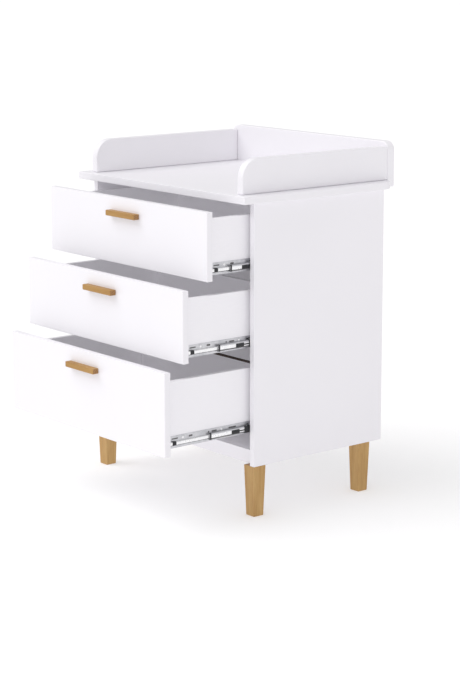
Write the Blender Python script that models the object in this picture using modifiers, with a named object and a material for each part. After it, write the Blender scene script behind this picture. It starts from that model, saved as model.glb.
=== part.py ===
"""Changing table: a three-drawer chest on four tapered legs, with a three-sided changing surround.

Blender 4.5, metres, +Z up. +X is the user's right, +Y points to the back of the chest. The drawers
stand open by different amounts, and each slides along Y on ball-bearing slides. Sizes along Y are
counted from the front edges of the side panels. The whole model hangs on one empty, which puts the
origin on the floor under the middle of the piece as it stands with its drawers open.
"""
import math

import bmesh
import bpy

MM = 0.001
GAP = 0.3 * MM              # clearance between solids that touch on the real chest

# Carcass
LEG_HEIGHT = 150 * MM
CARCASS_WIDTH = 770 * MM
CARCASS_DEPTH = 500 * MM
CARCASS_HEIGHT = 760 * MM
BOARD = 18 * MM             # side panels, rails and bottom panel
BACK_PANEL_THICKNESS = 4 * MM
BACK_PANEL_INSET = 3 * MM   # from the rear edges of the side panels
BASE_HEIGHT = 40 * MM       # underside of the chest to the top of its bottom panel
BASE_SETBACK = 18 * MM      # front rail behind the front edges of the side panels
BASE_RAIL_DEPTH = 70 * MM
TOP_RAIL_HEIGHT = 70 * MM

# Deck and surround
DECK_THICKNESS = 22 * MM
DECK_SIDE_OVERHANG = 15 * MM
DECK_FRONT_OVERHANG = 48 * MM
DECK_REAR_OVERHANG = 35 * MM
DECK_REAR_RADIUS = 45 * MM  # rear corners, rounded so that they stay inside the back wall's outline
WALL_THICKNESS = 25 * MM
WALL_HEIGHT = 100 * MM
WALL_SIDE_INSET = 38 * MM   # outer face of a side wall inside the edge of the deck
WALL_FRONT_INSET = 25 * MM
WALL_CORNER_RADIUS = 55 * MM
BACK_WALL_THICKNESS = 28 * MM
BACK_WALL_RISE = 114 * MM   # above the top of the deck
BACK_WALL_CORNER_RADIUS = 27 * MM

# Legs
LEG_TOP = 45 * MM
LEG_FOOT = 36 * MM
LEG_INSET = 1 * MM          # front and side faces of a leg's top inside the chest's edges
REAR_LEG_INSET = 45 * MM

# Drawers
TRAVEL = 450 * MM
FRONT_THICKNESS = 20 * MM
FRONT_CLEARANCE = 2 * MM    # closed front to the side panels' front edges
FRONT_SIDE_INSET = 5 * MM   # end of a front inside the outer face of a side panel
FIRST_FRONT_DROP = 12 * MM
FRONT_SPACING = 16 * MM     # open gap between fronts, too wide to trap a child's finger
DRAWERS = (
    # name, height of the front, box's top below the front's top, its underside above the front's
    # lower edge, opening at rest
    ("top", 194 * MM, 23 * MM, 12 * MM, 143 * MM),
    ("middle", 204 * MM, 28 * MM, 10 * MM, 228 * MM),
    ("bottom", 238 * MM, 33 * MM, 15 * MM, 292 * MM),
)
BOX_BOARD = 15 * MM
BOX_LENGTH = 450 * MM
BOX_BOTTOM_THICKNESS = 5 * MM
GROOVE_HEIGHT = 10 * MM     # underside of the side board to its groove
GROOVE_DEPTH = 6 * MM
BACK_BOARD_DROP = 30 * MM   # top of the back board below the tops of the side boards

# Handles
HANDLE_LENGTH = 138 * MM
HANDLE_HEIGHT = 16 * MM
HANDLE_DEPTH = 20 * MM
HANDLE_DROP = 46 * MM       # handle's middle below the top edge of the front

# Ball-bearing slides, one pair to a drawer
SLIDE_SPACE = 13 * MM
SLIDE_FRONT = 2 * MM        # slide's front end behind the side panels' front edges
SLIDE_RISE = 17.8 * MM        # slide's middle above the underside of the box
SLIDE_HEIGHT = 35 * MM
TRACK_MIDDLE = -3.2 * MM    # middle of the ball track from the slide's middle
STEEL = 1.1 * MM
CAGE_START = 120 * MM       # ball cage's front end behind the side panels' front edges, drawer closed
CAGE_LENGTH = 212 * MM
MIDDLE_MEMBER_RATIO = 0.5
BALL_CAGE_RATIO = 0.75

HALF_WIDTH = CARCASS_WIDTH / 2
INNER_HALF_WIDTH = HALF_WIDTH - BOARD
CARCASS_TOP = LEG_HEIGHT + CARCASS_HEIGHT
DECK_HALF_WIDTH = HALF_WIDTH + DECK_SIDE_OVERHANG
DECK_TOP = CARCASS_TOP + DECK_THICKNESS
DECK_BACK = CARCASS_DEPTH + DECK_REAR_OVERHANG
WALL_OUTER = DECK_HALF_WIDTH - WALL_SIDE_INSET
BOX_HALF_WIDTH = INNER_HALF_WIDTH - SLIDE_SPACE
FURTHEST_FRONT = -(FRONT_CLEARANCE + FRONT_THICKNESS + GAP + HANDLE_DEPTH) - DRAWERS[-1][-1]
FURTHEST_BACK = DECK_BACK + GAP + BACK_WALL_THICKNESS


def clear_scene():
    for obj in list(bpy.data.objects):
        bpy.data.objects.remove(obj, do_unlink=True)


def new_material(name, colour, roughness, metallic=0.0):
    material = bpy.data.materials.new(name)
    material.use_nodes = True
    shader = material.node_tree.nodes["Principled BSDF"]
    shader.inputs["Base Color"].default_value = (*colour, 1.0)
    shader.inputs["Roughness"].default_value = roughness
    shader.inputs["Metallic"].default_value = metallic
    return material


clear_scene()
parts = bpy.data.collections.new("changing_table")
bpy.context.scene.collection.children.link(parts)

floor_centre = bpy.data.objects.new("floor_centre", None)
floor_centre.location = (0, -(FURTHEST_FRONT + FURTHEST_BACK) / 2, 0)
parts.objects.link(floor_centre)

WHITE_LACQUER = new_material("white_lacquer", (0.93, 0.92, 0.94), 0.35)
DRAWER_FOIL = new_material("drawer_foil", (0.86, 0.85, 0.88), 0.45)
HARDBOARD = new_material("white_hardboard", (0.84, 0.83, 0.85), 0.55)
OAK = new_material("oiled_oak", (0.56, 0.33, 0.12), 0.5)
ZINC_STEEL = new_material("zinc_plated_steel", (0.72, 0.73, 0.75), 0.3, 1.0)
BLACK_PLASTIC = new_material("black_plastic", (0.03, 0.03, 0.03), 0.45)


def finish(obj, material, bevel, parent):
    """Common last steps of every piece: material, softened edges, collection and parent."""
    obj.data.materials.append(material)
    if bevel:
        edge = obj.modifiers.new("softened_edges", "BEVEL")
        edge.width = bevel
        edge.segments = 2
        edge.limit_method = "ANGLE"
    parts.objects.link(obj)
    obj.parent = parent or floor_centre
    return obj


def board(name, low, high, material, bevel=0.8 * MM, parent=None):
    """A rectangular board between two corners."""
    size = [b - a for a, b in zip(low, high)]
    mesh = bpy.data.meshes.new(name)
    shape = bmesh.new()
    bmesh.ops.create_cube(shape, size=1.0)
    bmesh.ops.scale(shape, vec=size, verts=shape.verts)
    shape.to_mesh(mesh)
    shape.free()
    obj = bpy.data.objects.new(name, mesh)
    obj.location = [(a + b) / 2 for a, b in zip(low, high)]
    return finish(obj, material, bevel, parent)


def arc(centre, radius, start, end, steps):
    """Points along a circular arc, angles in degrees."""
    points = []
    for step in range(steps + 1):
        angle = math.radians(start + (end - start) * step / steps)
        points.append((centre[0] + radius * math.cos(angle), centre[1] + radius * math.sin(angle)))
    return points


def outline_piece(name, points, thickness, location, rotation, material, bevel=0.0, parent=None):
    """A flat outline, thickened on both sides of its own plane."""
    curve = bpy.data.curves.new(name, "CURVE")
    curve.dimensions = "2D"
    curve.fill_mode = "BOTH"
    curve.extrude = thickness / 2
    spline = curve.splines.new("POLY")
    spline.points.add(len(points) - 1)
    for point, (u, v) in zip(spline.points, points):
        point.co = (u, v, 0.0, 1.0)
    spline.use_cyclic_u = True
    obj = bpy.data.objects.new(name, curve)
    obj.location = location
    obj.rotation_euler = rotation
    weld = obj.modifiers.new("closed_edges", "WELD")
    weld.merge_threshold = 0.01 * MM
    return finish(obj, material, bevel, parent)


LEVEL = (0.0, 0.0, 0.0)                                 # outline drawn in X and Y, thick along Z
ACROSS = (math.radians(90), 0.0, 0.0)                   # outline drawn in X and Z, thick along Y
SIDEWAYS = (math.radians(90), 0.0, math.radians(90))    # outline drawn in Y and Z, thick along X


def build_carcass():
    for name, side in (("left", -1), ("right", 1)):
        outer, inner = side * HALF_WIDTH, side * INNER_HALF_WIDTH
        board(f"side_panel_{name}", (min(outer, inner), 0, LEG_HEIGHT),
              (max(outer, inner), CARCASS_DEPTH, CARCASS_TOP), WHITE_LACQUER)
    half = INNER_HALF_WIDTH - GAP
    back_front = CARCASS_DEPTH - BACK_PANEL_INSET - BACK_PANEL_THICKNESS
    base_top = LEG_HEIGHT + BASE_HEIGHT
    panel_bottom = base_top - BOARD
    rail_back = BASE_SETBACK + BOARD
    board("front_bottom_rail", (-half, BASE_SETBACK, LEG_HEIGHT), (half, rail_back, base_top),
          WHITE_LACQUER)
    board("bottom_panel", (-half, rail_back + GAP, panel_bottom), (half, back_front - GAP, base_top),
          WHITE_LACQUER)
    board("base_rail_front", (-half, rail_back + GAP, LEG_HEIGHT),
          (half, rail_back + BASE_RAIL_DEPTH, panel_bottom - GAP), WHITE_LACQUER)
    board("base_rail_rear", (-half, back_front - GAP - BASE_RAIL_DEPTH, LEG_HEIGHT),
          (half, back_front - GAP, panel_bottom - GAP), WHITE_LACQUER)
    board("top_rear_rail", (-half, back_front - GAP - BOARD, CARCASS_TOP - TOP_RAIL_HEIGHT),
          (half, back_front - GAP, CARCASS_TOP), WHITE_LACQUER)
    board("back_panel", (-half, back_front, LEG_HEIGHT),
          (half, back_front + BACK_PANEL_THICKNESS, CARCASS_TOP), HARDBOARD, bevel=0.0)


def build_deck_and_surround():
    radius = DECK_REAR_RADIUS
    outline = [(-DECK_HALF_WIDTH, -DECK_FRONT_OVERHANG), (DECK_HALF_WIDTH, -DECK_FRONT_OVERHANG)]
    outline += arc((DECK_HALF_WIDTH - radius, DECK_BACK - radius), radius, 0, 90, 12)
    outline += arc((radius - DECK_HALF_WIDTH, DECK_BACK - radius), radius, 90, 180, 12)
    middle = (CARCASS_TOP + GAP + DECK_TOP) / 2
    outline_piece("deck_board", outline, DECK_THICKNESS - GAP, (0, 0, middle), LEVEL, WHITE_LACQUER,
                  bevel=1.2 * MM)
    front = WALL_FRONT_INSET - DECK_FRONT_OVERHANG
    back = DECK_BACK - GAP
    base = DECK_TOP + GAP
    top = DECK_TOP + WALL_HEIGHT
    outline = [(front, base), (back, base), (back, top)]
    outline += arc((front + WALL_CORNER_RADIUS, top - WALL_CORNER_RADIUS), WALL_CORNER_RADIUS, 90, 180, 14)
    for name, side in (("left", -1), ("right", 1)):
        centre = side * (WALL_OUTER - WALL_THICKNESS / 2)
        outline_piece(f"surround_wall_{name}", outline, WALL_THICKNESS, (centre, 0, 0), SIDEWAYS,
                      WHITE_LACQUER, bevel=1.2 * MM)
    corner = BACK_WALL_CORNER_RADIUS
    base = CARCASS_TOP + GAP
    top = DECK_TOP + BACK_WALL_RISE
    outline = [(-WALL_OUTER, base), (WALL_OUTER, base)]
    outline += arc((WALL_OUTER - corner, top - corner), corner, 0, 90, 10)
    outline += arc((corner - WALL_OUTER, top - corner), corner, 90, 180, 10)
    middle = DECK_BACK + GAP + BACK_WALL_THICKNESS / 2
    outline_piece("surround_wall_back", outline, BACK_WALL_THICKNESS, (0, middle, 0), ACROSS,
                  WHITE_LACQUER, bevel=1.2 * MM)


def leg(name, x, y):
    """A square leg that tapers on all four sides."""
    height = LEG_HEIGHT - GAP
    mesh = bpy.data.meshes.new(name)
    shape = bmesh.new()
    bmesh.ops.create_cube(shape, size=1.0)
    bmesh.ops.scale(shape, vec=(LEG_TOP, LEG_TOP, height), verts=shape.verts)
    foot = [vertex for vertex in shape.verts if vertex.co.z < 0]
    bmesh.ops.scale(shape, vec=(LEG_FOOT / LEG_TOP, LEG_FOOT / LEG_TOP, 1.0), verts=foot)
    shape.to_mesh(mesh)
    shape.free()
    obj = bpy.data.objects.new(name, mesh)
    obj.location = (x, y, height / 2)
    return finish(obj, OAK, 1.5 * MM, None)


def build_legs():
    x = HALF_WIDTH - LEG_INSET - LEG_TOP / 2
    front = LEG_INSET + LEG_TOP / 2
    rear = CARCASS_DEPTH - REAR_LEG_INSET - LEG_TOP / 2
    for row, y in (("front", front), ("rear", rear)):
        leg(f"leg_{row}_left", -x, y)
        leg(f"leg_{row}_right", x, y)


def slide_axis(name, height, offset):
    """An empty on a slide joint's axis; what hangs on it moves along Y."""
    empty = bpy.data.objects.new(name, None)
    empty.location = (0, -offset, height)
    empty.parent = floor_centre
    parts.objects.link(empty)
    return empty


def build_drawer_box(name, front_low, front_high, box_low, box_high, carriage):
    """Front, box boards and handle; heights are above the carriage, which lies at the slides' middle."""
    front_back = -FRONT_CLEARANCE
    front_face = front_back - FRONT_THICKNESS
    half = HALF_WIDTH - FRONT_SIDE_INSET
    board(f"{name}_drawer_front", (-half, front_face, front_low), (half, front_back, front_high),
          WHITE_LACQUER, bevel=1.0 * MM, parent=carriage)
    handle_middle = front_high - HANDLE_DROP
    board(f"{name}_drawer_handle",
          (-HANDLE_LENGTH / 2, front_face - GAP - HANDLE_DEPTH, handle_middle - HANDLE_HEIGHT / 2),
          (HANDLE_LENGTH / 2, front_face - GAP, handle_middle + HANDLE_HEIGHT / 2),
          OAK, bevel=1.5 * MM, parent=carriage)
    box_front = front_back + GAP
    box_back = box_front + BOX_LENGTH
    groove_low = box_low + GROOVE_HEIGHT
    groove_high = groove_low + BOX_BOTTOM_THICKNESS + 2 * GAP
    for label, side in (("left", -1), ("right", 1)):
        outer = side * BOX_HALF_WIDTH
        inner = side * (BOX_HALF_WIDTH - BOX_BOARD)
        groove = inner + side * GROOVE_DEPTH
        outline = [(outer, box_low), (inner, box_low), (inner, groove_low), (groove, groove_low),
                   (groove, groove_high), (inner, groove_high), (inner, box_high), (outer, box_high)]
        outline_piece(f"{name}_drawer_side_{label}", outline, BOX_LENGTH,
                      (0, (box_front + box_back) / 2, 0), ACROSS, DRAWER_FOIL, parent=carriage)
    inner = BOX_HALF_WIDTH - BOX_BOARD
    bottom_half = inner + GROOVE_DEPTH - GAP
    bottom_top = groove_low + GAP + BOX_BOTTOM_THICKNESS
    board(f"{name}_drawer_bottom", (-bottom_half, box_front, groove_low + GAP),
          (bottom_half, box_back, bottom_top), HARDBOARD, bevel=0.0, parent=carriage)
    board(f"{name}_drawer_back", (GAP - inner, box_back - BOX_BOARD, bottom_top + GAP),
          (inner - GAP, box_back, box_high - BACK_BOARD_DROP), DRAWER_FOIL, parent=carriage)


def channel(middle, web, lips, half_height, thickness, lip=0.0):
    """Section of a rolled channel: web at one X, flanges reaching to another, lips turned in."""
    direction = 1 if lips > web else -1
    inside = web + direction * thickness
    outer = half_height
    inner = half_height - thickness
    upper = [(web, outer), (lips, outer)]
    if lip:
        upper += [(lips, outer - thickness - lip), (lips - direction * thickness, outer - thickness - lip),
                  (lips - direction * thickness, inner)]
    else:
        upper += [(lips, inner)]
    upper += [(inside, inner)]
    section = upper + [(x, -z) for x, z in reversed(upper)]
    return [(x, middle + z) for x, z in section]


def flanged_rib(plate, crown, half_height, thickness):
    """Section of the drawer member: flat screw flanges above and below a pressed-out ball track."""
    face = plate + thickness
    inside = crown - thickness
    high, low = TRACK_MIDDLE + half_height, TRACK_MIDDLE - half_height
    return [(face, SLIDE_HEIGHT / 2), (face, high), (crown, high), (crown, low), (face, low),
            (face, -SLIDE_HEIGHT / 2), (plate, -SLIDE_HEIGHT / 2), (plate, low + thickness),
            (inside, low + thickness), (inside, high - thickness), (plate, high - thickness),
            (plate, SLIDE_HEIGHT / 2)]


def build_slides(name, height, carriage, middle_carriage, cage_carriage):
    """Both slides of a drawer. Sections are drawn for the right side and mirrored for the left."""
    box_face = BOX_HALF_WIDTH + GAP
    cabinet_face = INNER_HALF_WIDTH - GAP
    middle = SLIDE_FRONT + TRAVEL / 2
    cage_middle = CAGE_START + CAGE_LENGTH / 2
    cabinet_section = channel(TRACK_MIDDLE, cabinet_face, cabinet_face - 9.6 * MM, 12.4 * MM, STEEL,
                              lip=1.6 * MM)
    middle_section = channel(TRACK_MIDDLE, cabinet_face - 2.0 * MM, cabinet_face - 9.8 * MM, 9.2 * MM,
                             STEEL)
    drawer_section = flanged_rib(box_face, box_face + 6.8 * MM, 4.7 * MM, STEEL)
    cage_section = channel(TRACK_MIDDLE, cabinet_face - 3.4 * MM, cabinet_face - 8.8 * MM, 7.4 * MM,
                           1.2 * MM)
    members = (
        # label, section, length, place along Y, height, what it hangs on, material
        ("cabinet_member", cabinet_section, TRAVEL, middle, height, None, ZINC_STEEL),
        ("middle_member", middle_section, TRAVEL, middle, 0.0, middle_carriage, ZINC_STEEL),
        ("drawer_member", drawer_section, TRAVEL, middle, 0.0, carriage, ZINC_STEEL),
        ("ball_cage", cage_section, CAGE_LENGTH, cage_middle, 0.0, cage_carriage, BLACK_PLASTIC),
    )
    for label, section, length, y, z, parent, material in members:
        for side_name, side in (("left", -1), ("right", 1)):
            outline = [(side * x, z_section) for x, z_section in section]
            outline_piece(f"{name}_slide_{label}_{side_name}", outline, length, (0, y, z), ACROSS,
                          material, parent=parent)


def build_drawers():
    front_top = CARCASS_TOP - FIRST_FRONT_DROP
    for name, front_height, box_drop, box_rise, opening in DRAWERS:
        front_bottom = front_top - front_height
        box_bottom = front_bottom + box_rise
        height = box_bottom + SLIDE_RISE
        carriage = slide_axis(f"{name}_drawer_axis", height, opening)
        middle_carriage = slide_axis(f"{name}_middle_member_axis", height, opening * MIDDLE_MEMBER_RATIO)
        cage_carriage = slide_axis(f"{name}_ball_cage_axis", height, opening * BALL_CAGE_RATIO)
        build_drawer_box(name, front_bottom - height, front_top - height, box_bottom - height,
                         front_top - box_drop - height, carriage)
        build_slides(name, height, carriage, middle_carriage, cage_carriage)
        front_top = front_bottom - FRONT_SPACING


build_carcass()
build_deck_and_surround()
build_legs()
build_drawers()
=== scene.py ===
"""Changing table: how the three-drawer chest, its legs, handles, slides and changing surround look.

Metres, +Z up, +X to the user's right, +Y to the back of the chest. Every piece is built around the
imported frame. It rides on one of the frame's bodies, or halfway between two of them, so the drawers
and slides can move.
"""

import math

import bmesh
import bpy
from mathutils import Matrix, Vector
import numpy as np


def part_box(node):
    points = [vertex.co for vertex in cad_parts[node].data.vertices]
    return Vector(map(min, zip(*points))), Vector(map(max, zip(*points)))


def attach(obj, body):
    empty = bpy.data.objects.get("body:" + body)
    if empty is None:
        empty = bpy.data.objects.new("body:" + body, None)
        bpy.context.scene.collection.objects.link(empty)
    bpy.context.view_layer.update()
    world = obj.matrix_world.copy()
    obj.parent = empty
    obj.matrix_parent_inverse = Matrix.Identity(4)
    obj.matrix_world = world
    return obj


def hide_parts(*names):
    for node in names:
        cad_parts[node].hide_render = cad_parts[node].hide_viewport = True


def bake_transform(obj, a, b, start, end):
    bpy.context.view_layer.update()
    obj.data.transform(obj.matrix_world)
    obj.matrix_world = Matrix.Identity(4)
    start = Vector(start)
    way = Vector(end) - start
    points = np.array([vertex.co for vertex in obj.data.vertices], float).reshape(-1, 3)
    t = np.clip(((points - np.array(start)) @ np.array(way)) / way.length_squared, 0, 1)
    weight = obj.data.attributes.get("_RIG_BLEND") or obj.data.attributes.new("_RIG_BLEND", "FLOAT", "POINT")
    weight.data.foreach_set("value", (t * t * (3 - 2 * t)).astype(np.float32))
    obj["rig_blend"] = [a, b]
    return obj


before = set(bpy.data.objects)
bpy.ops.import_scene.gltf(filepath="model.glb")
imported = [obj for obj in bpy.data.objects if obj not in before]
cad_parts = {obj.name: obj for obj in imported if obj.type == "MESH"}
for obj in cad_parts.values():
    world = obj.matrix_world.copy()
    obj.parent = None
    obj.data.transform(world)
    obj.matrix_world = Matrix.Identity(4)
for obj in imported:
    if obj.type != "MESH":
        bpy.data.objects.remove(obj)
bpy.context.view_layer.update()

MM = 0.001
DRAWERS = ("top", "middle", "bottom")
SIDES = (("left", -1), ("right", 1))

# Softened edges of the boards
BOARD_EDGE = 1.0 * MM
FRONT_EDGE = 1.4 * MM
DECK_EDGE = 1.6 * MM
WALL_EDGE = 3.2 * MM
LEG_EDGE = 2.0 * MM
HANDLE_EDGE = 1.8 * MM
DRAWER_SIDE_EDGE = 0.9 * MM
DRAWER_BACK_EDGE = 0.6 * MM
DRAWER_BOTTOM_EDGE = 0.3 * MM
BACK_PANEL_EDGE = 0.4 * MM

# Chest
DECK_REAR_RADIUS = 45 * MM
LEG_FOOT_SHARE = 0.8        # width of a leg's foot as a share of its top
NAIL_SPACES = 6             # between the nails along each edge of the back panel
NAIL_SIDE_INSET = 6 * MM    # from the back panel's side edges
NAIL_END_INSET = 10 * MM    # from its top and bottom edges

# Surround
WALL_RADIUS = 55 * MM       # upper front corner of a side wall
BACK_WALL_RADIUS = 27 * MM
DECK_SCREWS = (-0.86, -0.3, 0.3, 0.86)      # places as shares of half the back wall's width
WALL_SCREW_INSET = 12.5 * MM                # from the ends of the back wall
WALL_SCREW_HEIGHTS = (28 * MM, 72 * MM)     # above the deck
SCREW_SINK_RADIUS = 4.9 * MM
SCREW_SINK_DEPTH = 2.0 * MM

# Drawers
GROOVE_DEPTH = 6 * MM
GROOVE_START = 10 * MM      # groove's lower and upper face above the underside of the side board
GROOVE_END = 15.6 * MM
BACK_SHADE_HEIGHT = 3 * MM           # dark strip of painted shade over the top of a back board and this far down its faces
SHADED_BACKS = ("bottom",)    # drawers with such a back board
HANDLE_SCREWS = (-48 * MM, 48 * MM)         # from the middle of the front
CAM_SETBACK = 34 * MM                       # behind the drawer's front
CAM_ABOVE_BOTTOM = 38 * MM                  # lower cam fitting above the side board's underside
CAM_BELOW_TOP = 28 * MM                     # upper cam fitting below its top
BACK_SCREW_INSET = 7.5 * MM                 # from the rear ends of the side boards
BACK_SCREW_HEIGHTS = (60 * MM, 100 * MM)    # above the underside of the side boards


# ---------------------------------------------------------------- materials

class Value:
    """An output of a material's node. Plain arithmetic on a number adds Math nodes."""

    def __init__(self, finish, socket):
        self.finish = finish
        self.socket = socket

    def _math(self, operation, first, second):
        return self.finish.node("ShaderNodeMath", {"operation": operation}, {0: first, 1: second})

    def __add__(self, other):
        return self._math("ADD", self, other)

    __radd__ = __add__

    def __sub__(self, other):
        return self._math("SUBTRACT", self, other)

    def __rsub__(self, other):
        return self._math("SUBTRACT", other, self)

    def __mul__(self, other):
        return self._math("MULTIPLY", self, other)

    __rmul__ = __mul__

    def __abs__(self):
        return self._math("ABSOLUTE", self, 0.0)


class Finish:
    """One material: the Principled shader and the nodes that drive it."""

    def __init__(self, name, **constants):
        self.material = bpy.data.materials.new(name)
        self.material.use_nodes = True
        self.tree = self.material.node_tree
        self.tree.nodes.clear()
        self.shader = self.tree.nodes.new("ShaderNodeBsdfPrincipled")
        output = self.tree.nodes.new("ShaderNodeOutputMaterial")
        self.tree.links.new(self.shader.outputs[0], output.inputs["Surface"])
        for label, value in constants.items():
            self.shader.inputs[label.replace("_", " ")].default_value = value

    def node(self, kind, settings=None, inputs=None, output=0):
        """Adds a node of that type: its settings first, then the values or links of its sockets.
        Gives one of its outputs."""
        node = self.tree.nodes.new(kind)
        for label, value in (settings or {}).items():
            if label == "stops":
                stops = node.color_ramp.elements
                while len(stops) < len(value):
                    stops.new(1.0)
                for stop, (position, colour) in zip(stops, value):
                    stop.position = position
                    stop.color = (*colour, 1.0)
            else:
                setattr(node, label, value)
        for label, value in (inputs or {}).items():
            if isinstance(value, Value):
                self.tree.links.new(value.socket, node.inputs[label])
            else:
                node.inputs[label].default_value = value
        return Value(self, node.outputs[output])

    def drive(self, label, value):
        """Links a value to a socket of the shader."""
        self.tree.links.new(value.socket, self.shader.inputs[label])

    def place(self, stretch=(1.0, 1.0, 1.0)):
        """The piece's own coordinates in metres, stretched along each axis."""
        coordinates = self.node("ShaderNodeTexCoord", output="Object")
        return self.node("ShaderNodeMapping", {}, {"Vector": coordinates, "Scale": stretch})

    def noise(self, place, scale, detail, roughness=0.5):
        return self.node("ShaderNodeTexNoise", {},
                         {"Vector": place, "Scale": scale, "Detail": detail, "Roughness": roughness})

    def spread(self, value, low, high, new_low, new_high):
        """Moves a value's range from low..high to new_low..new_high, held within the new range."""
        return self.node("ShaderNodeMapRange", {"clamp": True},
                         {"Value": value, "From Min": low, "From Max": high,
                          "To Min": new_low, "To Max": new_high})

    def blend(self, share, first, second):
        """Mixes two colours; each is a Value or three numbers."""
        def colour(tone):
            return tone if isinstance(tone, Value) else (*tone, 1.0)
        return self.node("ShaderNodeMix", {"data_type": "RGBA"},
                         {0: share, 6: colour(first), 7: colour(second)}, output=2)

    def relief(self, height, distance, strength):
        """A bump from a height between 0 and 1 that stands for that distance."""
        return self.node("ShaderNodeBump", {},
                         {"Height": height, "Distance": distance, "Strength": strength})

    def edge(self):
        """1 on the softened edges of a piece, 0 elsewhere."""
        return self.node("ShaderNodeAttribute", {"attribute_name": "edge"}, output="Fac")


def shaded(colour, share):
    return tuple(share * part for part in colour)


def satin_lacquer():
    """Sprayed satin lacquer: faint orange peel, uneven sheen, a little wear along the edges."""
    white = (0.86, 0.845, 0.88)
    rough = 0.34
    finish = Finish("satin white lacquer", Specular_IOR_Level=0.45)
    place = finish.place()
    cloud = finish.noise(place, 3.1, 3.0)
    peel = finish.noise(place, 420.0, 2.0)
    fine = finish.noise(place, 90.0, 3.0)
    worn = finish.edge() * finish.spread(finish.noise(place, 38.0, 4.0, 0.6), 0.52, 0.72, 0.0, 1.0)
    tone = finish.blend(finish.spread(cloud, 0.3, 0.7, 0.0, 1.0),
                        shaded(white, 1.008), shaded(white, 0.992))
    tone = finish.blend(worn * 0.5, tone, shaded(white, 0.965))
    finish.drive("Base Color", tone)
    finish.drive("Roughness", finish.spread(fine, 0.3, 0.7, rough - 0.05, rough + 0.05) + worn * 0.12)
    finish.drive("Normal", finish.relief(peel, 0.02 * MM, 0.5))
    return finish.material


def drawer_foil():
    """Matt decor foil on the drawer boxes, with a fine pressed texture that runs along the boards."""
    finish = Finish("drawer foil", Specular_IOR_Level=0.4)
    long_grain = finish.noise(finish.place((60.0, 4.0, 60.0)), 9.0, 4.0, 0.6)
    cloud = finish.noise(finish.place(), 5.0, 2.0)
    tone = finish.blend(finish.spread(long_grain, 0.3, 0.7, 0.0, 1.0),
                        (0.91, 0.895, 0.93), (0.885, 0.872, 0.905))
    tone = finish.blend(finish.spread(cloud, 0.35, 0.65, 0.0, 0.25), tone, (0.87, 0.857, 0.89))
    finish.drive("Base Color", tone)
    finish.drive("Roughness", finish.spread(long_grain, 0.3, 0.7, 0.42, 0.54))
    finish.drive("Normal", finish.relief(long_grain, 0.04 * MM, 0.6))
    return finish.material


def hardboard():
    """Painted hardboard of the back panel and the drawer bottoms: short pressed fibres."""
    finish = Finish("white hardboard", Specular_IOR_Level=0.3)
    place = finish.place()
    fibres = finish.noise(finish.place((40.0, 90.0, 25.0)), 14.0, 5.0, 0.65)
    speckle = finish.node("ShaderNodeTexVoronoi", {"feature": "F1"}, {"Vector": place, "Scale": 260.0})
    tone = finish.blend(finish.spread(fibres, 0.3, 0.7, 0.0, 1.0),
                        (0.90, 0.89, 0.915), (0.86, 0.85, 0.875))
    finish.drive("Base Color", tone)
    finish.drive("Roughness", finish.spread(fibres, 0.3, 0.7, 0.55, 0.7))
    finish.drive("Normal", finish.relief(fibres * 0.7 + speckle * 0.3, 0.06 * MM, 0.5))
    return finish.material


def oiled_oak(name, along, shade_scale=(1.0, 1.0, 1.0)):
    """Oiled oak: straight grain and pores along one axis, growth rings on the end faces. The last
    argument scales the red, green and blue of its tones; below 1 it is painted shade, a darker copy."""
    def oak(*colour):
        return tuple(part * share for part, share in zip(colour, shade_scale))

    def grained(lengthwise, crosswise):
        return finish.place([lengthwise if axis == along else crosswise for axis in "XYZ"])

    finish = Finish(name, Specular_IOR_Level=0.35)
    warp = finish.noise(finish.place(), 6.0, 2.0)
    broad = finish.noise(grained(1.0, 14.0), 5.0, 3.0, 0.6)
    streaks = finish.noise(grained(2.0, 60.0), 8.0, 4.0, 0.7)
    pores = finish.node("ShaderNodeTexVoronoi", {"feature": "F1"},
                        {"Vector": grained(9.0, 340.0), "Scale": 2.0, "Randomness": 1.0})
    pore = finish.spread(pores, 0.12, 0.3, 1.0, 0.0)
    grain = finish.spread(broad * 0.6 + streaks * 0.4 + (warp - 0.5) * 0.15, 0.36, 0.64, 0.0, 1.0)
    stops = ((0.0, oak(0.40, 0.222, 0.075)), (0.45, oak(0.475, 0.285, 0.105)),
             (1.0, oak(0.54, 0.345, 0.14)))
    tone = finish.node("ShaderNodeValToRGB", {"stops": stops}, {"Fac": grain})
    tone = finish.blend(pore * 0.35, tone, oak(0.25, 0.13, 0.042))
    normal = finish.node("ShaderNodeTexCoord", output="Normal")
    facing = finish.node("ShaderNodeSeparateXYZ", {}, {0: normal}, output=along)
    end = finish.spread(abs(facing), 0.75, 0.95, 0.0, 1.0)
    rings = finish.node("ShaderNodeTexWave", {"wave_type": "RINGS", "rings_direction": along},
                        {"Vector": finish.place(), "Scale": 55.0, "Distortion": 3.0, "Detail": 2.0,
                         "Detail Scale": 1.5})
    end_tone = finish.blend(rings, (0.38, 0.205, 0.085), (0.28, 0.145, 0.052))
    tone = finish.blend(end, tone, end_tone)
    rub = finish.edge() * finish.spread(warp, 0.4, 0.65, 0.2, 0.8)
    tone = finish.blend(rub * 0.35, tone, oak(0.56, 0.37, 0.16))
    finish.drive("Base Color", tone)
    finish.drive("Roughness", finish.spread(streaks, 0.3, 0.7, 0.42, 0.6) - rub * 0.08)
    finish.drive("Normal", finish.relief(streaks * 0.6 - pore * 0.4, 0.12 * MM, 0.6))
    return finish.material


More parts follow.
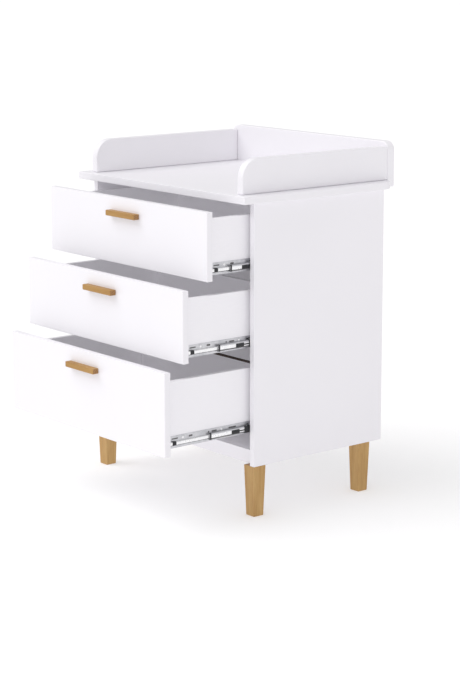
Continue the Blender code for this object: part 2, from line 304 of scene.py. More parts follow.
def zinc_steel(name, light, dark, metal, rough):
    """Zinc on rolled steel: fine rolling marks along the member, mottled tone and sheen."""
    finish = Finish(name, Metallic=metal)
    marks = finish.noise(finish.place((300.0, 3.0, 300.0)), 6.0, 3.0, 0.6)
    mottle = finish.noise(finish.place(), 60.0, 3.0, 0.6)
    tone = finish.blend(finish.spread(mottle, 0.35, 0.65, 0.0, 1.0), light, dark)
    tone = finish.blend(finish.spread(marks, 0.55, 0.75, 0.0, 0.35), tone, shaded(dark, 0.78))
    finish.drive("Base Color", tone)
    sheen = finish.spread(mottle, 0.3, 0.7, rough - 0.07, rough + 0.07)
    finish.drive("Roughness", sheen + finish.spread(marks, 0.4, 0.7, 0.0, 0.08))
    finish.drive("Normal", finish.relief(marks, 0.03 * MM, 0.5))
    return finish.material


def black_plastic():
    """Moulded black plastic of the cages, clips and bumpers, with a slight spark-eroded grain."""
    finish = Finish("black moulded plastic", Specular_IOR_Level=0.4)
    place = finish.place()
    grain = finish.node("ShaderNodeTexVoronoi", {"feature": "F1"}, {"Vector": place, "Scale": 900.0})
    cloud = finish.noise(place, 45.0, 3.0)
    finish.drive("Base Color", finish.blend(finish.spread(cloud, 0.3, 0.7, 0.0, 1.0),
                                            (0.012, 0.012, 0.014), (0.03, 0.03, 0.034)))
    finish.drive("Roughness", finish.spread(cloud, 0.3, 0.7, 0.4, 0.55))
    finish.drive("Normal", finish.relief(grain, 0.03 * MM, 0.5))
    return finish.material


def floor_paint():
    """Plain pale studio floor, with a glow that keeps the shadows on it light."""
    finish = Finish("pale studio floor", Specular_IOR_Level=0.1, Emission_Strength=0.34)
    cloud = finish.noise(finish.place(), 1.3, 3.0)
    finish.drive("Base Color", finish.blend(cloud, (0.69, 0.687, 0.69), (0.68, 0.677, 0.682)))
    finish.drive("Roughness", finish.spread(cloud, 0.3, 0.7, 0.8, 0.9))
    return finish.material


def back_shade_strip():
    """Dark strip of painted shade along the top of a back board, patterned as pressed chips."""
    finish = Finish("dark strip, painted shade", Specular_IOR_Level=0.2)
    chips = finish.node("ShaderNodeTexVoronoi", {"feature": "F1"},
                        {"Vector": finish.place((1.0, 2.2, 1.0)), "Scale": 420.0})
    tone = finish.blend(finish.spread(chips, 0.1, 0.6, 0.0, 1.0),
                        (0.05, 0.038, 0.032), (0.10, 0.078, 0.065))
    finish.drive("Base Color", tone)
    finish.drive("Roughness", finish.spread(chips, 0.1, 0.6, 0.75, 0.9))
    finish.drive("Normal", finish.relief(chips, 0.15 * MM, 0.7))
    return finish.material


WHITE = satin_lacquer()
FOIL = drawer_foil()
HARDBOARD = hardboard()
BACK_SHADE_STRIP = back_shade_strip()
# The handles' oak is a darker copy: painted shade for the strong light on the drawer fronts
OAK_ACROSS = oiled_oak("oiled oak, grain across", "X", shade_scale=(0.84, 0.76, 0.6))
OAK_UPRIGHT = oiled_oak("oiled oak, grain upright", "Z")
ZINC = zinc_steel("zinc plated steel", (0.66, 0.66, 0.685), (0.56, 0.565, 0.59), 0.85, 0.36)
# Bright zinc of the balls and screws; on the ball tracks it is a painted highlight
BRIGHT_ZINC_AND_HIGHLIGHT = zinc_steel("bright zinc and painted highlight", (0.96, 0.96, 0.965), (0.91, 0.91, 0.925), 0.6, 0.28)
# Dark zinc, painted shade: under the ball tracks and in the flange holes
SHADE_PAINTED_ZINC = zinc_steel("zinc with painted shade", (0.16, 0.155, 0.16), (0.10, 0.098, 0.10), 0.7, 0.3)
BLACK = black_plastic()


# ---------------------------------------------------------------- shapes

PLANES = {
    # from a point (u, v) in the plane and its distance w across it to x, y and z
    "XZ": lambda u, v, w: (u, w, v),
    "YZ": lambda u, v, w: (w, u, v),
    "XY": lambda u, v, w: (u, v, w),
}


def rectangle(low, high):
    """Outline of a rectangle from its lowest and highest corner."""
    return [(low[0], low[1]), (high[0], low[1]), (high[0], high[1]), (low[0], high[1])]


def arc(centre, radius, start, end, steps):
    """Points along a circular arc, angles in degrees."""
    points = []
    for step in range(steps + 1):
        angle = math.radians(start + (end - start) * step / steps)
        points.append((centre[0] + radius * math.cos(angle), centre[1] + radius * math.sin(angle)))
    return points


SHARP = math.radians(28)    # edges that bend more than this are softened
LONGEST_REACH = 0.48        # share of an outline's side that one rounded corner may use
NOTHING = 0.001 * MM
SHORTEST_SIDE = 0.02 * MM   # keeps the round ends of a hole from sharing points


def rounded(points, radii, steps=4):
    """A closed outline with each corner rounded; radii is one number or one for each corner."""
    if not isinstance(radii, (list, tuple)):
        radii = [radii] * len(points)
    made = []
    for index, (point, radius) in enumerate(zip(points, radii)):
        corner = Vector(point)
        before = Vector(points[index - 1]) - corner
        after = Vector(points[(index + 1) % len(points)]) - corner
        half = before.angle(after) / 2
        reach = min(radius / math.tan(half), before.length * LONGEST_REACH, after.length * LONGEST_REACH)
        if reach < NOTHING:
            made.append(tuple(corner))
            continue
        start = corner + before.normalized() * reach
        end = corner + after.normalized() * reach
        for step in range(steps + 1):
            t = step / steps
            rest = 1 - t
            made.append(tuple(rest ** 2 * start + 2 * t * rest * corner + t * t * end))
    return made


def new_shape():
    """An empty shape whose faces can be marked as softened edges."""
    shape = bmesh.new()
    shape.faces.layers.float.new("edge")
    return shape


def solid(outline, start, end, plane, edge=0.0, foot=1.0, segments=3):
    """An outline in one plane, thick from start to end across it, with softened edges.
    foot scales the outline at start about its own middle, for a taper."""
    place = PLANES[plane]
    shape = new_shape()
    middle_u = sum(u for u, _ in outline) / len(outline)
    middle_v = sum(v for _, v in outline) / len(outline)
    first, second = [
        [shape.verts.new(place(middle_u + (u - middle_u) * scale, middle_v + (v - middle_v) * scale, w))
         for u, v in outline]
        for w, scale in ((start, foot), (end, 1.0))]
    shape.faces.new(first)
    shape.faces.new(second)
    for index in range(len(outline)):
        following = (index + 1) % len(outline)
        shape.faces.new((first[index], first[following], second[following], second[index]))
    bmesh.ops.recalc_face_normals(shape, faces=shape.faces)
    if edge:
        sharp = [line for line in shape.edges if line.calc_face_angle(0.0) > SHARP]
        made = bmesh.ops.bevel(shape, geom=sharp, offset=edge, offset_type="OFFSET",
                               segments=segments, profile=0.5, affect="EDGES", clamp_overlap=True)
        is_edge = shape.faces.layers.float["edge"]
        for face in made["faces"]:
            face[is_edge] = 1.0
    return shape


def board(node, edge):
    """A rectangular board of the node's own size."""
    low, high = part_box(node)
    return solid(rectangle((low.x, low.z), (high.x, high.z)), low.y, high.y, "XZ", edge)


def turned(profile, centre, axis, steps=20):
    """A part turned on a lathe. The profile is (radius, distance along the axis), end to end."""
    shape = new_shape()
    direction = Vector(axis).normalized()
    side = direction.orthogonal().normalized()
    other = direction.cross(side)
    rings = []
    for radius, along in profile:
        if not radius:
            rings.append([shape.verts.new(Vector(centre) + direction * along)])
            continue
        ring = []
        for step in range(steps):
            angle = 2 * math.pi * step / steps
            ring.append(shape.verts.new(Vector(centre) + direction * along
                                        + side * radius * math.cos(angle)
                                        + other * radius * math.sin(angle)))
        rings.append(ring)
    for first, second in zip(rings, rings[1:]):
        for step in range(steps):
            following = (step + 1) % steps
            corners = [first[step % len(first)], first[following % len(first)],
                       second[following % len(second)], second[step % len(second)]]
            unique = list(dict.fromkeys(corners))
            if len(unique) > 2:
                shape.faces.new(unique)
    for ring in (rings[0], rings[-1]):
        if len(ring) > 2:
            shape.faces.new(ring)
    bmesh.ops.recalc_face_normals(shape, faces=shape.faces)
    return shape


def pan_head(centre, axis, radius=4.0 * MM, height=2.4 * MM):
    """Head of a pan-head screw with a recess in its middle, standing on a face."""
    shares = ((1.0, 0.0), (1.0, 0.35), (0.86, 0.78), (0.6, 0.97), (0.34, 1.0), (0.28, 0.55), (0.0, 0.5))
    return turned([(radius * out, height * up) for out, up in shares], centre, axis)


def cam_disc(centre, axis):
    """Face of a cam fitting that draws two boards together: a disc with a deep middle."""
    return turned([(7.4 * MM, 0.0), (7.4 * MM, 0.35 * MM), (7.0 * MM, 0.7 * MM), (3.4 * MM, 0.7 * MM),
                   (3.0 * MM, 0.15 * MM), (0.0, 0.1 * MM)], centre, axis)


def nail_head(centre, axis):
    return turned([(2.6 * MM, 0.0), (2.6 * MM, 0.5 * MM), (1.8 * MM, 0.9 * MM), (0.0, 1.0 * MM)],
                  centre, axis, steps=12)


def stadium(middle, length, height):
    """Outline of a slot with round ends, or of a nearly round hole where the sizes are equal."""
    radius = height / 2
    half = max(length / 2 - radius, SHORTEST_SIDE / 2)
    return (arc((middle[0] + half, middle[1]), radius, -90, 90, steps=8)
            + arc((middle[0] - half, middle[1]), radius, 90, 270, steps=8))


MOST_MATERIALS = 3          # on one piece


def cut(shape, cutters):
    """The shape with the space of the cutters taken out of it. The blank gets slots for materials,
    because only then do its faces keep their material numbers; piece() fills them later."""
    objects = []
    for name, source in (("blank", shape), ("cutter", together(cutters))):
        mesh = bpy.data.meshes.new(name)
        source.to_mesh(mesh)
        source.free()
        obj = bpy.data.objects.new(name, mesh)
        bpy.context.scene.collection.objects.link(obj)
        objects.append(obj)
    blank, cutter = objects
    for _ in range(MOST_MATERIALS):
        blank.data.materials.append(WHITE)
    boolean = blank.modifiers.new("holes", "BOOLEAN")
    boolean.object = cutter
    bpy.context.view_layer.update()
    evaluated = blank.evaluated_get(bpy.context.evaluated_depsgraph_get())
    result = bmesh.new()
    result.from_mesh(evaluated.to_mesh())
    for obj in objects:
        mesh = obj.data
        bpy.data.objects.remove(obj)
        bpy.data.meshes.remove(mesh)
    return result


def together(shapes):
    """Several shapes as one."""
    whole = new_shape()
    for shape in shapes:
        mesh = bpy.data.meshes.new("part")
        shape.to_mesh(mesh)
        shape.free()
        whole.from_mesh(mesh)
        bpy.data.meshes.remove(mesh)
    return whole


FAR = 1000.0                # the whole piece counts as halfway between two points this far away


def piece(name, shape, material, body, stands_for=(), shared_with=None):
    """Makes the shape a piece of the table that moves with one body, or halfway between two.
    With a tuple of materials, each face takes the one of its own number."""
    mesh = bpy.data.meshes.new(name)
    shape.to_mesh(mesh)
    shape.free()
    for polygon in mesh.polygons:
        polygon.use_smooth = True
    for finish in material if isinstance(material, tuple) else (material,):
        mesh.materials.append(finish)
    obj = bpy.data.objects.new(name, mesh)
    bpy.context.scene.collection.objects.link(obj)
    normals = obj.modifiers.new("even faces", "WEIGHTED_NORMAL")
    normals.mode = "FACE_AREA"
    if shared_with:
        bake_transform(obj, body, shared_with, start=(0, -FAR, 0), end=(0, FAR, 0))
    else:
        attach(obj, body)
    if stands_for:
        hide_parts(*stands_for)


def finished(node, shape, material, body):
    """Makes the visible piece that stands for one node of the frame."""
    piece(f"finished_{node}", shape, material, body, (node,))


# ---------------------------------------------------------------- chest

def build_chest():
    for node in ("side_panel_left", "side_panel_right", "front_bottom_rail", "bottom_panel",
                 "base_rail_front", "base_rail_rear", "top_rear_rail"):
        finished(node, board(node, BOARD_EDGE), WHITE, "cabinet")
    finished("back_panel", board("back_panel", BACK_PANEL_EDGE), HARDBOARD, "cabinet")
    low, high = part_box("deck_board")
    radius = DECK_REAR_RADIUS
    outline = [(low.x, low.y), (high.x, low.y)]
    outline += arc((high.x - radius, high.y - radius), radius, 0, 90, steps=20)
    outline += arc((low.x + radius, high.y - radius), radius, 90, 180, steps=20)
    shape = solid(outline, low.z, high.z, "XY", DECK_EDGE)
    finished("deck_board", shape, WHITE, "cabinet")


def build_nails():
    """Nails along all four edges of the back panel."""
    low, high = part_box("back_panel")
    nails = []
    for step in range(NAIL_SPACES + 1):
        z = low.z + NAIL_END_INSET + (high.z - low.z - 2 * NAIL_END_INSET) * step / NAIL_SPACES
        for x in (low.x + NAIL_SIDE_INSET, high.x - NAIL_SIDE_INSET):
            nails.append(nail_head((x, high.y, z), (0, 1, 0)))
    for step in range(1, NAIL_SPACES):
        x = low.x + (high.x - low.x) * step / NAIL_SPACES
        for z in (low.z + NAIL_END_INSET, high.z - NAIL_END_INSET):
            nails.append(nail_head((x, high.y, z), (0, 1, 0)))
    piece("back_panel_nails", together(nails), ZINC, "cabinet")


def build_side_walls():
    for label, _ in SIDES:
        node = f"surround_wall_{label}"
        low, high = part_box(node)
        outline = [(low.y, low.z), (high.y, low.z), (high.y, high.z)]
        outline += arc((low.y + WALL_RADIUS, high.z - WALL_RADIUS), WALL_RADIUS, 90, 180, steps=22)
        finished(node, solid(outline, low.x, high.x, "YZ", WALL_EDGE), WHITE, "cabinet")


def build_back_wall():
    """Back wall with sunk screws into the deck and into the side walls."""
    node = "surround_wall_back"
    low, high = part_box(node)
    deck_low, deck_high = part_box("deck_board")
    radius = BACK_WALL_RADIUS
    outline = [(low.x, low.z), (high.x, low.z)]
    outline += arc((high.x - radius, high.z - radius), radius, 0, 90, steps=14)
    outline += arc((low.x + radius, high.z - radius), radius, 90, 180, steps=14)
    level = (deck_low.z + deck_high.z) / 2
    spots = [(share * high.x, level) for share in DECK_SCREWS]
    for x in (low.x + WALL_SCREW_INSET, high.x - WALL_SCREW_INSET):
        spots += [(x, deck_high.z + height) for height in WALL_SCREW_HEIGHTS]
    sink = [(SCREW_SINK_RADIUS, -SCREW_SINK_DEPTH), (SCREW_SINK_RADIUS, 1.0 * MM)]
    sinks = [turned(sink, (x, high.y, z), (0, 1, 0)) for x, z in spots]
    shape = cut(solid(outline, low.y, high.y, "XZ", WALL_EDGE), sinks)
    finished(node, shape, WHITE, "cabinet")
    heads = [pan_head((x, high.y - SCREW_SINK_DEPTH, z), (0, 1, 0), radius=4.4 * MM, height=1.5 * MM)
             for x, z in spots]
    piece("surround_wall_screws", together(heads), ZINC, "cabinet")


def build_legs():
    for row in ("front", "rear"):
        for label, _ in SIDES:
            node = f"leg_{row}_{label}"
            low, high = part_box(node)
            shape = solid(rectangle((low.x, low.y), (high.x, high.y)), low.z, high.z, "XY",
                          LEG_EDGE, foot=LEG_FOOT_SHARE)
            finished(node, shape, OAK_UPRIGHT, "cabinet")


# ---------------------------------------------------------------- drawers

def outer_and_inner(low, high, side):
    """X of the faces of a side board that look out of the drawer and into it."""
    return (high.x, low.x) if side > 0 else (low.x, high.x)


def drawer_side(name, label, side):
    """Side board with the groove that takes the drawer's bottom."""
    node = f"{name}_drawer_side_{label}"
    low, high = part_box(node)
    outer, inner = outer_and_inner(low, high, side)
    groove = inner + side * GROOVE_DEPTH
    groove_low, groove_high = low.z + GROOVE_START, low.z + GROOVE_END
    outline = [(outer, low.z), (inner, low.z), (inner, groove_low), (groove, groove_low),
               (groove, groove_high), (inner, groove_high), (inner, high.z), (outer, high.z)]
    shape = solid(outline, low.y, high.y, "XZ", DRAWER_SIDE_EDGE)
    finished(node, shape, FOIL, f"{name}_drawer")


def drawer_back(name):
    """Back board, with a dark strip of painted shade along its top in some drawers."""
    node = f"{name}_drawer_back"
    low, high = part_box(node)
    shade_start = high.z - BACK_SHADE_HEIGHT
    outline = [(low.y, low.z), (high.y, low.z), (high.y, shade_start), (high.y, high.z), (low.y, high.z),
               (low.y, shade_start)]
    shape = solid(outline, low.x, high.x, "YZ", DRAWER_BACK_EDGE)
    cover = FOIL
    # painted shade: the faces above the strip's start take the dark strip
    if name in SHADED_BACKS:
        cover = (FOIL, BACK_SHADE_STRIP)
        for face in shape.faces:
            face.material_index = int(face.calc_center_median().z > shade_start)
    finished(node, shape, cover, f"{name}_drawer")


def drawer_fittings(name):
    """Screws of the handle, and the cam fittings and screws that hold the box together."""
    body = f"{name}_drawer"
    front_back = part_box(f"{name}_drawer_front")[1].y
    handle_low, handle_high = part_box(f"{name}_drawer_handle")
    level = (handle_low.z + handle_high.z) / 2
    screws = [pan_head((x, front_back, level), (0, 1, 0)) for x in HANDLE_SCREWS]
    piece(f"{name}_handle_screws", together(screws), ZINC, body)
    cams = []
    screws = []
    for label, side in SIDES:
        low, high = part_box(f"{name}_drawer_side_{label}")
        outer, inner = outer_and_inner(low, high, side)
        for z in (low.z + CAM_ABOVE_BOTTOM, high.z - CAM_BELOW_TOP):
            cams.append(cam_disc((inner, low.y + CAM_SETBACK, z), (-side, 0, 0)))
        for height in BACK_SCREW_HEIGHTS:
            centre = (outer, high.y - BACK_SCREW_INSET, low.z + height)
            screws.append(pan_head(centre, (side, 0, 0), radius=3.8 * MM, height=1.6 * MM))
    piece(f"{name}_drawer_cams", together(cams), ZINC, body)
    piece(f"{name}_drawer_back_screws", together(screws), ZINC, body)


def build_drawer(name):
    body = f"{name}_drawer"
    front = f"{name}_drawer_front"
    handle = f"{name}_drawer_handle"
    bottom = f"{name}_drawer_bottom"
    finished(front, board(front, FRONT_EDGE), WHITE, body)
    finished(handle, board(handle, HANDLE_EDGE), OAK_ACROSS, body)
    for label, side in SIDES:
        drawer_side(name, label, side)
    drawer_back(name)
    finished(bottom, board(bottom, DRAWER_BOTTOM_EDGE), HARDBOARD, body)
    drawer_fittings(name)


# ---------------------------------------------------------------- slides

STEEL = 1.1 * MM
CAGE_WALL = 1.2 * MM
CABINET_LIP = 1.6 * MM
TRACK_MIDDLE = -3.2 * MM    # middle of the drawer member's ball track from the slide's middle
TRACK_HALF = 4.7 * MM
TRACK_SHADE_HEIGHT = 2.6 * MM      # height of the dark strip below the track, painted shade under the track
TRACK_SHADE_REACH = 8 * MM       # lowest of the dark strip of painted shade below the middle member's middle
NEAR = 0.2 * MM             # a face this close to a plane counts as lying in it
FLANGE_HOLES = (
    # middle of the hole behind the member's front end, length, height
    (29 * MM, 22 * MM, 3.6 * MM),
    (85 * MM, 14 * MM, 5.6 * MM),
    (149 * MM, 5.2 * MM, 5.0 * MM),
    (169 * MM, 19 * MM, 4.4 * MM),
    (235 * MM, 28 * MM, 4.4 * MM),
    (290 * MM, 5.2 * MM, 5.0 * MM),
    (330 * MM, 25 * MM, 4.4 * MM),
    (405 * MM, 14 * MM, 5.6 * MM),
)
FLANGE_SCREWS = (57 * MM, 195 * MM, 378 * MM)   # behind the member's front end
SEAT_DEPTH = 0.45 * MM      # bottom of the dark seat in a flange hole, below the flange's face: painted shade in the hole
SEAT_MARGIN = 0.6 * MM      # how much longer and higher than its hole a seat is
CUT_MARGIN = 1 * MM         # how far a cutter stands past the sheet that it cuts
BUMPER_START = 17 * MM      # front and rear of the bumper behind the drawer member's front end
BUMPER_END = 30 * MM
BUMPER_HALF = 5.7 * MM
BUMPER_PROUD = 0.6 * MM     # past the crown of the track
CLIP_START = 0.5 * MM       # front and rear of the clip behind the middle member's front end
CLIP_END = 5.5 * MM
CLIP_PROUD = 0.6 * MM
CLEAR = 0.05 * MM           # air between plastic and steel

# Balls of the inner cage, in two rows
INNER_BALLS = 9             # in one row
INNER_BALL_RADIUS = 1.65 * MM
INNER_BALL_INSET = 1.0 * MM     # centres from the cage's upper and lower edges
INNER_BALL_DEPTH = 1.8 * MM     # centres from the cage's lips

# Outer cage: a flat nose, a narrow neck, and a sleeve with windows and two rows of balls
CAGE_SETBACK = 6 * MM       # nose behind the point halfway between the two members' front ends
NOSE_LENGTH = 29 * MM
NOSE_HALF = 5.3 * MM
NECK_LENGTH = 20 * MM
NECK_HALF = 1.8 * MM
STRIP_OVERLAP = 2 * MM      # of nose, neck and sleeve
SLEEVE_LENGTH = 140 * MM
SLEEVE_PROUD = 1.3 * MM     # above and below the middle member
SLEEVE_LIPS = 5.4 * MM
SLEEVE_WALL = 0.5 * MM
WINDOWS = 4
WINDOW_START = 22 * MM
WINDOW_SPACING = 28 * MM
WINDOW_LENGTH = 20 * MM
WINDOW_HALF = 5 * MM
OUTER_BALLS = 6             # in one row
OUTER_BALL_RADIUS = 1.0 * MM
OUTER_BALL_START = 10 * MM
OUTER_BALL_SPACING = 20 * MM
OUTER_BALL_INSET = 0.27 * MM    # centres from the sleeve's upper and lower edges
OUTER_BALL_DEPTH = 3.4 * MM     # centres from the middle member's web


def near_and_far(low, high):
    """Distances from the middle of the chest to a member's nearer and further face."""
    return sorted((abs(low.x), abs(high.x)))


def mirrored(section, side):
    return [(side * x, z) for x, z in section]


def channel(web, lips, low, high, wall, lip=0.0):
    """Section of a rolled channel that opens towards the drawer, with lips turned in."""
    upper = [(web, high), (lips, high)]
    if lip:
        upper += [(lips, high - wall - lip), (lips + wall, high - wall - lip), (lips + wall, high - wall)]
    else:
        upper += [(lips, high - wall)]
    upper += [(web - wall, high - wall)]
    return upper + [(x, low + high - z) for x, z in reversed(upper)]


def channel_radii(outside, inside, lip):
    """Corner radii of a channel without turned-in lips, in the order of its outline."""
    return [outside, lip, lip, inside, inside, lip, lip, outside]


def ball(centre, radius):
    shape = new_shape()
    bmesh.ops.create_icosphere(shape, subdivisions=2, radius=radius)
    bmesh.ops.translate(shape, vec=centre, verts=shape.verts)
    return shape


def drawer_member(name, label, side):
    """Flat screw flanges above and below a pressed-out ball track, with slots and screws in the
    upper flange and a bumper over the track's front end."""
    node = f"{name}_slide_drawer_member_{label}"
    body = f"{name}_drawer"
    low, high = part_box(node)
    plate, crown = near_and_far(low, high)
    track = (low.z + high.z) / 2 + TRACK_MIDDLE
    upper, lower = track + TRACK_HALF, track - TRACK_HALF
    face, inside = plate + STEEL, crown - STEEL
    outline = [(face, high.z), (face, upper), (crown, upper), (crown, lower), (face, lower),
               (face, lower - TRACK_SHADE_HEIGHT), (face, low.z), (plate, low.z), (plate, lower + STEEL),
               (inside, lower + STEEL), (inside, upper - STEEL), (plate, upper - STEEL), (plate, high.z)]
    radii = [0.4 * MM, 0.8 * MM, 1.8 * MM, 1.8 * MM, 0.3 * MM, 0.0, 0.4 * MM,
             0.4 * MM, 1.2 * MM, 1.2 * MM, 1.2 * MM, 1.2 * MM, 0.4 * MM]
    shape = solid(rounded(mirrored(outline, side), radii), low.y, high.y, "XZ")
    for item in shape.faces:
        centre = item.calc_center_median()
        # painted highlight: the crown of the track takes the bright zinc, as the light it catches
        if abs(centre.x) > face + 0.3 * MM:
            item.material_index = 1
        # painted shade: a dark strip on the flange just under the track, where its shadow falls
        elif lower - TRACK_SHADE_HEIGHT < centre.z < lower and abs(centre.x) > face - NEAR:
            item.material_index = 2
    row = (upper + high.z) / 2
    cutters = []
    seats = []
    for along, length, height in FLANGE_HOLES:
        middle = (low.y + along, row)
        cutters.append(solid(stadium(middle, length, height), side * (plate - CUT_MARGIN),
                             side * (face + CUT_MARGIN), "YZ"))
        # painted shade: a dark seat fills each hole to just below the face, so the hole looks like a shaded
        # hollow
        seat = solid(stadium(middle, length + SEAT_MARGIN, height + SEAT_MARGIN), side * plate,
                     side * (face - SEAT_DEPTH), "YZ")
        for item in seat.faces:
            item.material_index = 2
        seats.append(seat)
    shape = together([cut(shape, cutters)] + seats)
    finished(node, shape, (ZINC, BRIGHT_ZINC_AND_HIGHLIGHT, SHADE_PAINTED_ZINC), body)
    screws = [pan_head((side * face, low.y + along, row), (side, 0, 0), radius=3.7 * MM, height=1.5 * MM)
              for along in FLANGE_SCREWS]
    piece(f"{name}_slide_screws_{label}", together(screws), BRIGHT_ZINC_AND_HIGHLIGHT, body)
    proud = crown + BUMPER_PROUD
    outline = [(face, track + BUMPER_HALF), (proud, track + BUMPER_HALF), (proud, track - BUMPER_HALF),
               (face, track - BUMPER_HALF), (face, lower - CLEAR), (crown + CLEAR, lower - CLEAR),
               (crown + CLEAR, upper + CLEAR), (face, upper + CLEAR)]
    radii = [0.3 * MM, 1.6 * MM, 1.6 * MM, 0.3 * MM, 0.0, 0.6 * MM, 0.6 * MM, 0.0]
    shape = solid(rounded(mirrored(outline, side), radii), low.y + BUMPER_START, low.y + BUMPER_END,
                  "XZ", edge=0.25 * MM)
    piece(f"{name}_slide_bumper_{label}", shape, BLACK, body)


def middle_member(name, label, side):
    """Channel that runs over the drawer member's track, with a plastic clip on its front end."""
    node = f"{name}_slide_middle_member_{label}"
    body = f"{name}_slide_middle_members"
    low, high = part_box(node)
    lips, web = near_and_far(low, high)
    middle = (low.z + high.z) / 2
    outline = channel(web, lips, low.z, high.z, STEEL)
    outline += [(web, middle - TRACK_HALF), (web, middle + TRACK_HALF)]
    radii = channel_radii(3.6 * MM, 2.5 * MM, 0.4 * MM) + [0.0, 0.0]
    shape = solid(rounded(mirrored(outline, side), radii), low.y, high.y, "XZ")
    for item in shape.faces:
        centre = item.calc_center_median()
        # painted highlight: the track band in the middle of the web takes the bright zinc
        if abs(centre.x) > web - NEAR and abs(centre.z - middle) < TRACK_HALF:
            item.material_index = 1
        # painted shade: the web just below the track band is dark, as the shade under it
        elif abs(centre.x) > web - 3 * MM and -TRACK_SHADE_REACH < centre.z - middle < -TRACK_HALF:
            item.material_index = 2
    finished(node, shape, (ZINC, BRIGHT_ZINC_AND_HIGHLIGHT, SHADE_PAINTED_ZINC), body)
    outline = channel(web + CLIP_PROUD, lips + 2 * MM, low.z - CLIP_PROUD, high.z + CLIP_PROUD,
                      wall=CLIP_PROUD - 0.03 * MM)
    radii = channel_radii(4.1 * MM, 3.6 * MM, 0.2 * MM)
    shape = solid(rounded(mirrored(outline, side), radii), low.y + CLIP_START, low.y + CLIP_END,
                  "XZ", edge=0.12 * MM)
    piece(f"{name}_slide_clip_{label}", shape, BLACK, body)


def cabinet_member(name, label, side):
    """Outer channel, screwed to the side panel."""
    node = f"{name}_slide_cabinet_member_{label}"
    low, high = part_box(node)
    lips, web = near_and_far(low, high)
    outline = channel(web, lips, low.z, high.z, STEEL, CABINET_LIP)
    shape = solid(rounded(mirrored(outline, side), 0.45 * MM), low.y, high.y, "XZ")
    finished(node, shape, ZINC, "cabinet")


def inner_cage(name, label, side):
    """Plastic cage between the track and the middle member, with two rows of steel balls."""
    node = f"{name}_slide_ball_cage_{label}"
    body = f"{name}_slide_ball_cages"
    low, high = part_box(node)
    lips, web = near_and_far(low, high)
    outline = channel(web, lips, low.z, high.z, CAGE_WALL)
    radii = channel_radii(2.6 * MM, 1.4 * MM, 0.3 * MM)
    shape = solid(rounded(mirrored(outline, side), radii), low.y, high.y, "XZ")
    finished(node, shape, BLACK, body)
    balls = []
    for step in range(INNER_BALLS):
        y = low.y + (high.y - low.y) * (step + 0.5) / INNER_BALLS
        for z in (low.z + INNER_BALL_INSET, high.z - INNER_BALL_INSET):
            balls.append(ball((side * (lips + INNER_BALL_DEPTH), y, z), INNER_BALL_RADIUS))
    piece(f"{name}_slide_balls_{label}", together(balls), BRIGHT_ZINC_AND_HIGHLIGHT, body)


def outer_cage(name, label, side):
    """Plastic cage between the middle and the cabinet member, with two rows of steel balls. It
    travels half as far as the middle member, so each of its points follows the two halfway."""
    low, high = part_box(f"{name}_slide_middle_member_{label}")
    cabinet_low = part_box(f"{name}_slide_cabinet_member_{label}")[0]
    web = near_and_far(low, high)[1]
    middle = (low.z + high.z) / 2
    outer, inner = web + 0.7 * MM, web + 0.2 * MM

    def strip(start, end, half):
        outline = rounded(rectangle((start, middle - half), (end, middle + half)), 1.6 * MM)
        return solid(outline, side * inner, side * outer, "YZ", edge=0.12 * MM, segments=2)

    nose_start = (low.y + cabinet_low.y) / 2 + CAGE_SETBACK
    nose_end = nose_start + NOSE_LENGTH
    neck_end = nose_end + NECK_LENGTH
    sleeve_start = neck_end - STRIP_OVERLAP
    half = high.z - middle + SLEEVE_PROUD
    outline = channel(outer, web - SLEEVE_LIPS, middle - half, middle + half, SLEEVE_WALL)
    radii = channel_radii(4.3 * MM, 3.8 * MM, 0.2 * MM)
    sleeve = solid(rounded(mirrored(outline, side), radii), sleeve_start, sleeve_start + SLEEVE_LENGTH,
                   "XZ")
    windows = []
    for step in range(WINDOWS):
        y = sleeve_start + WINDOW_START + step * WINDOW_SPACING
        outline = rectangle((y, middle - WINDOW_HALF), (y + WINDOW_LENGTH, middle + WINDOW_HALF))
        windows.append(solid(outline, side * (web - CUT_MARGIN), side * (outer + CUT_MARGIN), "YZ"))
    cage = together([strip(nose_start, nose_end, NOSE_HALF),
                     strip(nose_end - STRIP_OVERLAP, neck_end, NECK_HALF),
                     cut(sleeve, windows)])
    balls = []
    for step in range(OUTER_BALLS):
        y = sleeve_start + OUTER_BALL_START + step * OUTER_BALL_SPACING
        for direction in (-1, 1):
            z = middle + direction * (half - OUTER_BALL_INSET)
            balls.append(ball((side * (web - OUTER_BALL_DEPTH), y, z), OUTER_BALL_RADIUS))
    for kind, shape, material, slot in (("outer_cage", cage, BLACK, "cage_plastic"),
                                        ("outer_balls", together(balls), BRIGHT_ZINC_AND_HIGHLIGHT, "zinc_steel")):
        piece(f"{name}_slide_{kind}_{label}", shape, material, "cabinet",
              shared_with=f"{name}_slide_middle_members")


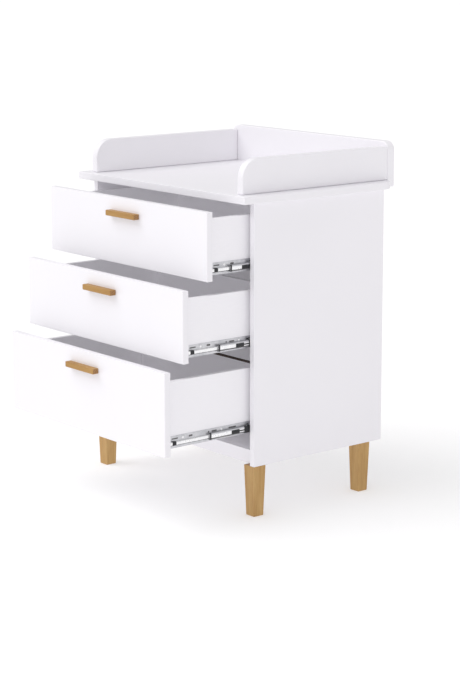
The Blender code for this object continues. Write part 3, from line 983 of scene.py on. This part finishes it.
def build_slides(name):
    for label, side in SIDES:
        drawer_member(name, label, side)
        middle_member(name, label, side)
        cabinet_member(name, label, side)
        inner_cage(name, label, side)
        outer_cage(name, label, side)


# ---------------------------------------------------------------- studio

def build_floor():
    shape = bmesh.new()
    bmesh.ops.create_circle(shape, cap_ends=True, radius=90.0, segments=64)
    mesh = bpy.data.meshes.new("floor")
    shape.to_mesh(mesh)
    shape.free()
    mesh.materials.append(floor_paint())
    floor = bpy.data.objects.new("studio_floor", mesh)
    bpy.context.scene.collection.objects.link(floor)


def soft_light(name, energy, spread, towards):
    """A distant light; spread is the angle that it fills, in degrees, and towards points to it."""
    lamp = bpy.data.lights.new(name, "SUN")
    lamp.energy = energy
    lamp.angle = math.radians(spread)
    light = bpy.data.objects.new(name, lamp)
    light.rotation_mode = "QUATERNION"
    light.rotation_quaternion = Vector(towards).to_track_quat("Z", "Y")
    bpy.context.scene.collection.objects.link(light)
    return lamp


def build_lights():
    world = bpy.data.worlds.new("soft studio")
    world.use_nodes = True
    background = world.node_tree.nodes["Background"]
    background.inputs["Color"].default_value = (1.0, 0.995, 1.0, 1.0)
    background.inputs["Strength"].default_value = 0.60
    bpy.context.scene.world = world
    soft_light("large soft window", energy=1.35, spread=50.0, towards=(-0.15, -0.21, 0.357))
    fill = soft_light("bounce from the room", energy=0.66, spread=60.0, towards=(0.6, -0.58, 0.5))
    fill.use_shadow = False
    fill.cycles.cast_shadow = False


def build_camera():
    """A long lens at the height of a standing person, from the front right."""
    lens = bpy.data.cameras.new("camera")
    lens.lens = 99.952
    lens.sensor_width = 36.0
    lens.shift_y = -0.0946
    lens.clip_start = 0.1
    lens.clip_end = 300.0
    camera = bpy.data.objects.new("camera", lens)
    camera.location = (4.44, -3.5186, 1.6243)
    camera.rotation_euler = [math.radians(angle) for angle in (80.035, 0.024, 50.716)]
    bpy.context.scene.collection.objects.link(camera)
    bpy.context.scene.camera = camera
    bpy.context.scene.view_settings.view_transform = "Standard"


build_chest()
build_nails()
build_side_walls()
build_back_wall()
build_legs()
for drawer in DRAWERS:
    build_drawer(drawer)
    build_slides(drawer)
build_floor()
build_lights()
build_camera()
